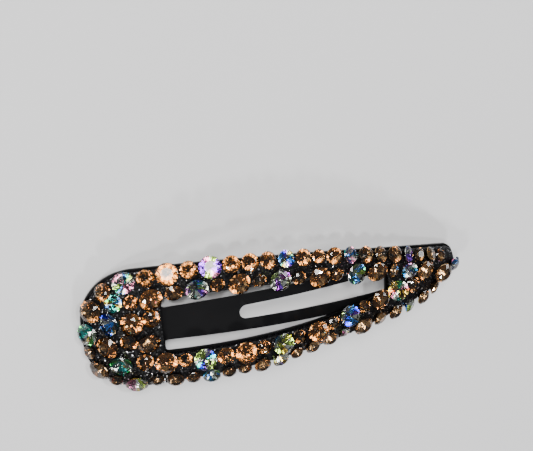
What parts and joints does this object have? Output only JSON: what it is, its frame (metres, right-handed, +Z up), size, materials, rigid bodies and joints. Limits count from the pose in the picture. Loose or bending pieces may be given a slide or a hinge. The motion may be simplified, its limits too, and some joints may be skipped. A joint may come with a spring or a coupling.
{
  "type": "rhinestone snap hair clip",
  "caption": "Arched black snap hair clip, its tapered ring covered in brown and iridescent round chatons set in black glitter, with a slotted hinged tongue.",
  "frame": {"origin": "on the surface that the clip lies on, under the middle of its box", "axes": "+X from the wide end to the narrow tip, +Y across, +Z up, out of the stones"},
  "size_m": [0.0882, 0.028, 0.0126],
  "materials": {
    "frame_enamel": "satin black enamel on spring steel",
    "tongue_enamel": "satin black enamel on spring steel",
    "glitter_bed": "black adhesive with fine silver glitter",
    "topaz_stone": "foil-backed light brown faceted glass",
    "aurora_stone": "foil-backed clear faceted glass with an iridescent coating"
  },
  "bodies": {
    "frame": {"frame": "frame_enamel", "glitter_bed": "glitter_bed", "lower_inner_aurora_large_1": "aurora_stone", "lower_inner_aurora_large_2": "aurora_stone", "lower_inner_aurora_large_3": "aurora_stone", "lower_inner_aurora_large_4": "aurora_stone", "lower_inner_topaz_large_1": "topaz_stone", "lower_inner_topaz_large_2": "topaz_stone", "lower_inner_topaz_large_3": "topaz_stone", "lower_inner_topaz_large_4": "topaz_stone", "lower_inner_topaz_medium": "topaz_stone", "lower_inner_topaz_small": "topaz_stone", "lower_rim_aurora_medium_1": "aurora_stone", "lower_rim_aurora_medium_2": "aurora_stone", "lower_rim_aurora_medium_3": "aurora_stone", "lower_rim_aurora_medium_4": "aurora_stone", "lower_rim_aurora_small_1": "aurora_stone", "lower_rim_topaz_large_1": "topaz_stone", "lower_rim_topaz_medium": "topaz_stone", "lower_rim_topaz_small": "topaz_stone", "plate_heart_topaz_large_1": "topaz_stone", "plate_heart_topaz_large_2": "topaz_stone", "plate_heart_topaz_medium": "topaz_stone", "plate_ring_aurora_large_1": "aurora_stone", "plate_ring_aurora_large_2": "aurora_stone", "plate_ring_aurora_medium_1": "aurora_stone", "plate_ring_topaz_large_1": "topaz_stone", "plate_ring_topaz_small": "topaz_stone", "upper_inner_aurora_large_1": "aurora_stone", "upper_inner_aurora_large_2": "aurora_stone", "upper_inner_aurora_large_3": "aurora_stone", "upper_inner_aurora_medium_1": "aurora_stone", "upper_inner_topaz_large_1": "topaz_stone", "upper_inner_topaz_large_2": "topaz_stone", "upper_inner_topaz_large_3": "topaz_stone", "upper_inner_topaz_large_4": "topaz_stone", "upper_inner_topaz_large_5": "topaz_stone", "upper_inner_topaz_large_6": "topaz_stone", "upper_inner_topaz_medium": "topaz_stone", "upper_inner_topaz_small": "topaz_stone", "upper_rim_aurora_large_1": "aurora_stone", "upper_rim_aurora_medium_1": "aurora_stone", "upper_rim_aurora_medium_2": "aurora_stone", "upper_rim_aurora_medium_3": "aurora_stone", "upper_rim_topaz_large_1": "topaz_stone", "upper_rim_topaz_medium": "topaz_stone", "upper_rim_topaz_small": "topaz_stone", "wide_rim_aurora_large_1": "aurora_stone", "wide_rim_aurora_large_2": "aurora_stone", "wide_rim_aurora_large_3": "aurora_stone", "wide_rim_topaz_large_1": "topaz_stone", "wide_rim_topaz_large_2": "topaz_stone", "wide_rim_topaz_medium": "topaz_stone", "wide_rim_topaz_small": "topaz_stone"},
    "tongue": {"tongue": "tongue_enamel"}
  },
  "joints": [
    {"name": "tongue_hinge", "type": "hinge", "parent": "frame", "child": "tongue", "pos_m": [-0.03411, -0.00022, 0.00179], "axis": [0, 1, 0], "range_deg": [0, 28]}
  ]
}
